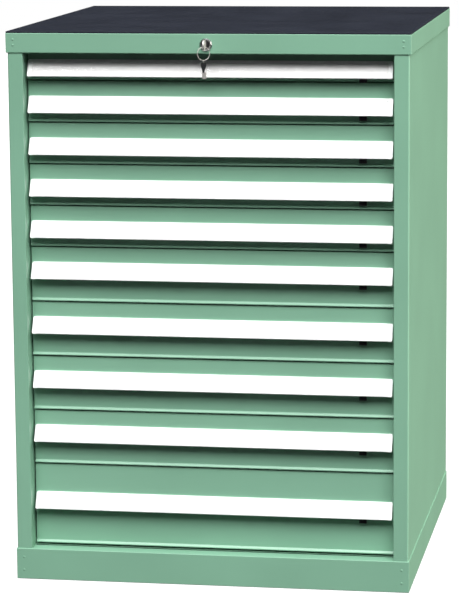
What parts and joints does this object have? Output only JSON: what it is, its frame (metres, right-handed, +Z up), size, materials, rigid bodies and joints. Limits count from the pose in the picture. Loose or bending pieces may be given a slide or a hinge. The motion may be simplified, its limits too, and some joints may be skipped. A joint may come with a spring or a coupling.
{
  "type": "workshop drawer cabinet",
  "caption": "Stationary steel drawer cabinet with full-width slanted handles, push-up catches, telescopic drawers, a ribbed top mat and a central key lock.",
  "frame": {"origin": "centre of the plinth's underside, on the floor", "axes": "+Z up, -Y towards the front of the drawers, +X to the viewer's right when facing the front"},
  "size_m": [0.723, 0.756, 1],
  "materials": {
    "housing_paint": "semi-gloss powder coat, light reseda green",
    "drawer_paint": "semi-gloss powder coat, light reseda green",
    "inside_paint": "satin powder coat",
    "zinc_steel": "bright zinc plate",
    "mat_rubber": "finely ribbed matt rubber",
    "handle_strip": "white satin extrusion with moulded end caps",
    "catch_plastic": "fine-grained black moulding",
    "lock_chrome": "polished chrome",
    "lock_face": "dark lock core",
    "key_steel": "nickel plate, lightly worn"
  },
  "bodies": {
    "housing": {"plinth": "housing_paint", "floor_panel": "inside_paint", "side_panel_left": "housing_paint", "side_panel_right": "housing_paint", "back_panel": "housing_paint", "slide_uprights_left": "zinc_steel", "slide_uprights_right": "zinc_steel", "slide_rails_left": "zinc_steel", "slide_rails_right": "zinc_steel", "top_crossbars": "zinc_steel", "top_cover": "housing_paint", "top_mat": "mat_rubber", "lock_brackets": "zinc_steel", "lock_barrel": "lock_chrome"},
    "lock_core": {"lock_plug": "lock_face", "lock_rod": "zinc_steel", "key": "key_steel"},
    "locking_bar": {"lock_bar": "zinc_steel"},
    "drawer_01_body": {"drawer_01": "drawer_paint", "drawer_01_handle": "handle_strip"},
    "drawer_01_carriage_body": {"drawer_01_carriage": "zinc_steel"},
    "drawer_01_catch_body": {"drawer_01_catch": "catch_plastic"},
    "drawer_02_body": {"drawer_02": "drawer_paint", "drawer_02_handle": "handle_strip"},
    "drawer_02_carriage_body": {"drawer_02_carriage": "zinc_steel"},
    "drawer_02_catch_body": {"drawer_02_catch": "catch_plastic"},
    "drawer_03_body": {"drawer_03": "drawer_paint", "drawer_03_handle": "handle_strip"},
    "drawer_03_carriage_body": {"drawer_03_carriage": "zinc_steel"},
    "drawer_03_catch_body": {"drawer_03_catch": "catch_plastic"},
    "drawer_04_body": {"drawer_04": "drawer_paint", "drawer_04_handle": "handle_strip"},
    "drawer_04_carriage_body": {"drawer_04_carriage": "zinc_steel"},
    "drawer_04_catch_body": {"drawer_04_catch": "catch_plastic"},
    "drawer_05_body": {"drawer_05": "drawer_paint", "drawer_05_handle": "handle_strip"},
    "drawer_05_carriage_body": {"drawer_05_carriage": "zinc_steel"},
    "drawer_05_catch_body": {"drawer_05_catch": "catch_plastic"},
    "drawer_06_body": {"drawer_06": "drawer_paint", "drawer_06_handle": "handle_strip"},
    "drawer_06_carriage_body": {"drawer_06_carriage": "zinc_steel"},
    "drawer_06_catch_body": {"drawer_06_catch": "catch_plastic"},
    "drawer_07_body": {"drawer_07": "drawer_paint", "drawer_07_handle": "handle_strip"},
    "drawer_07_carriage_body": {"drawer_07_carriage": "zinc_steel"},
    "drawer_07_catch_body": {"drawer_07_catch": "catch_plastic"},
    "drawer_08_body": {"drawer_08": "drawer_paint", "drawer_08_handle": "handle_strip"},
    "drawer_08_carriage_body": {"drawer_08_carriage": "zinc_steel"},
    "drawer_08_catch_body": {"drawer_08_catch": "catch_plastic"},
    "drawer_09_body": {"drawer_09": "drawer_paint", "drawer_09_handle": "handle_strip"},
    "drawer_09_carriage_body": {"drawer_09_carriage": "zinc_steel"},
    "drawer_09_catch_body": {"drawer_09_catch": "catch_plastic"},
    "drawer_10_body": {"drawer_10": "drawer_paint", "drawer_10_handle": "handle_strip"},
    "drawer_10_carriage_body": {"drawer_10_carriage": "zinc_steel"},
    "drawer_10_catch_body": {"drawer_10_catch": "catch_plastic"}
  },
  "joints": [
    {"name": "locking_bar_lift", "type": "slide", "parent": "housing", "child": "locking_bar", "axis": [0, 0, 1], "range_m": [0, 0.008]},
    {"name": "lock_turn", "type": "hinge", "parent": "housing", "child": "lock_core", "pos_m": [0, -0.364, 0.978], "axis": [0, 1, 0], "range_deg": [0, 90]},
    {"name": "drawer_01_slide", "type": "slide", "parent": "housing", "child": "drawer_01_body", "axis": [0, -1, 0], "range_m": [0, 0.6]},
    {"name": "drawer_01_carriage_slide", "type": "slide", "parent": "housing", "child": "drawer_01_carriage_body", "axis": [0, -1, 0], "range_m": [0, 0.3]},
    {"name": "drawer_01_catch_push", "type": "slide", "parent": "drawer_01_body", "child": "drawer_01_catch_body", "axis": [0, 0, 1], "range_m": [0, 0.005], "stiffness_N_per_m": 200, "springref_m": -0.002},
    {"name": "drawer_02_slide", "type": "slide", "parent": "housing", "child": "drawer_02_body", "axis": [0, -1, 0], "range_m": [0, 0.6]},
    {"name": "drawer_02_carriage_slide", "type": "slide", "parent": "housing", "child": "drawer_02_carriage_body", "axis": [0, -1, 0], "range_m": [0, 0.3]},
    {"name": "drawer_02_catch_push", "type": "slide", "parent": "drawer_02_body", "child": "drawer_02_catch_body", "axis": [0, 0, 1], "range_m": [0, 0.005], "stiffness_N_per_m": 200, "springref_m": -0.002},
    {"name": "drawer_03_slide", "type": "slide", "parent": "housing", "child": "drawer_03_body", "axis": [0, -1, 0], "range_m": [0, 0.6]},
    {"name": "drawer_03_carriage_slide", "type": "slide", "parent": "housing", "child": "drawer_03_carriage_body", "axis": [0, -1, 0], "range_m": [0, 0.3]},
    {"name": "drawer_03_catch_push", "type": "slide", "parent": "drawer_03_body", "child": "drawer_03_catch_body", "axis": [0, 0, 1], "range_m": [0, 0.005], "stiffness_N_per_m": 200, "springref_m": -0.002},
    {"name": "drawer_04_slide", "type": "slide", "parent": "housing", "child": "drawer_04_body", "axis": [0, -1, 0], "range_m": [0, 0.6]},
    {"name": "drawer_04_carriage_slide", "type": "slide", "parent": "housing", "child": "drawer_04_carriage_body", "axis": [0, -1, 0], "range_m": [0, 0.3]},
    {"name": "drawer_04_catch_push", "type": "slide", "parent": "drawer_04_body", "child": "drawer_04_catch_body", "axis": [0, 0, 1], "range_m": [0, 0.005], "stiffness_N_per_m": 200, "springref_m": -0.002},
    {"name": "drawer_05_slide", "type": "slide", "parent": "housing", "child": "drawer_05_body", "axis": [0, -1, 0], "range_m": [0, 0.6]},
    {"name": "drawer_05_carriage_slide", "type": "slide", "parent": "housing", "child": "drawer_05_carriage_body", "axis": [0, -1, 0], "range_m": [0, 0.3]},
    {"name": "drawer_05_catch_push", "type": "slide", "parent": "drawer_05_body", "child": "drawer_05_catch_body", "axis": [0, 0, 1], "range_m": [0, 0.005], "stiffness_N_per_m": 200, "springref_m": -0.002},
    {"name": "drawer_06_slide", "type": "slide", "parent": "housing", "child": "drawer_06_body", "axis": [0, -1, 0], "range_m": [0, 0.6]},
    {"name": "drawer_06_carriage_slide", "type": "slide", "parent": "housing", "child": "drawer_06_carriage_body", "axis": [0, -1, 0], "range_m": [0, 0.3]},
    {"name": "drawer_06_catch_push", "type": "slide", "parent": "drawer_06_body", "child": "drawer_06_catch_body", "axis": [0, 0, 1], "range_m": [0, 0.005], "stiffness_N_per_m": 200, "springref_m": -0.002},
    {"name": "drawer_07_slide", "type": "slide", "parent": "housing", "child": "drawer_07_body", "axis": [0, -1, 0], "range_m": [0, 0.6]},
    {"name": "drawer_07_carriage_slide", "type": "slide", "parent": "housing", "child": "drawer_07_carriage_body", "axis": [0, -1, 0], "range_m": [0, 0.3]},
    {"name": "drawer_07_catch_push", "type": "slide", "parent": "drawer_07_body", "child": "drawer_07_catch_body", "axis": [0, 0, 1], "range_m": [0, 0.005], "stiffness_N_per_m": 200, "springref_m": -0.002},
    {"name": "drawer_08_slide", "type": "slide", "parent": "housing", "child": "drawer_08_body", "axis": [0, -1, 0], "range_m": [0, 0.6]},
    {"name": "drawer_08_carriage_slide", "type": "slide", "parent": "housing", "child": "drawer_08_carriage_body", "axis": [0, -1, 0], "range_m": [0, 0.3]},
    {"name": "drawer_08_catch_push", "type": "slide", "parent": "drawer_08_body", "child": "drawer_08_catch_body", "axis": [0, 0, 1], "range_m": [0, 0.005], "stiffness_N_per_m": 200, "springref_m": -0.002},
    {"name": "drawer_09_slide", "type": "slide", "parent": "housing", "child": "drawer_09_body", "axis": [0, -1, 0], "range_m": [0, 0.6]},
    {"name": "drawer_09_carriage_slide", "type": "slide", "parent": "housing", "child": "drawer_09_carriage_body", "axis": [0, -1, 0], "range_m": [0, 0.3]},
    {"name": "drawer_09_catch_push", "type": "slide", "parent": "drawer_09_body", "child": "drawer_09_catch_body", "axis": [0, 0, 1], "range_m": [0, 0.005], "stiffness_N_per_m": 200, "springref_m": -0.002},
    {"name": "drawer_10_slide", "type": "slide", "parent": "housing", "child": "drawer_10_body", "axis": [0, -1, 0], "range_m": [0, 0.6]},
    {"name": "drawer_10_carriage_slide", "type": "slide", "parent": "housing", "child": "drawer_10_carriage_body", "axis": [0, -1, 0], "range_m": [0, 0.3]},
    {"name": "drawer_10_catch_push", "type": "slide", "parent": "drawer_10_body", "child": "drawer_10_catch_body", "axis": [0, 0, 1], "range_m": [0, 0.005], "stiffness_N_per_m": 200, "springref_m": -0.002}
  ],
  "couplings": [
    {"joint": "lock_turn", "follows": "locking_bar_lift", "rad_per_m": 196.35},
    {"joint": "drawer_01_carriage_slide", "follows": "drawer_01_slide", "ratio": 0.5},
    {"joint": "drawer_02_carriage_slide", "follows": "drawer_02_slide", "ratio": 0.5},
    {"joint": "drawer_03_carriage_slide", "follows": "drawer_03_slide", "ratio": 0.5},
    {"joint": "drawer_04_carriage_slide", "follows": "drawer_04_slide", "ratio": 0.5},
    {"joint": "drawer_05_carriage_slide", "follows": "drawer_05_slide", "ratio": 0.5},
    {"joint": "drawer_06_carriage_slide", "follows": "drawer_06_slide", "ratio": 0.5},
    {"joint": "drawer_07_carriage_slide", "follows": "drawer_07_slide", "ratio": 0.5},
    {"joint": "drawer_08_carriage_slide", "follows": "drawer_08_slide", "ratio": 0.5},
    {"joint": "drawer_09_carriage_slide", "follows": "drawer_09_slide", "ratio": 0.5},
    {"joint": "drawer_10_carriage_slide", "follows": "drawer_10_slide", "ratio": 0.5}
  ]
}
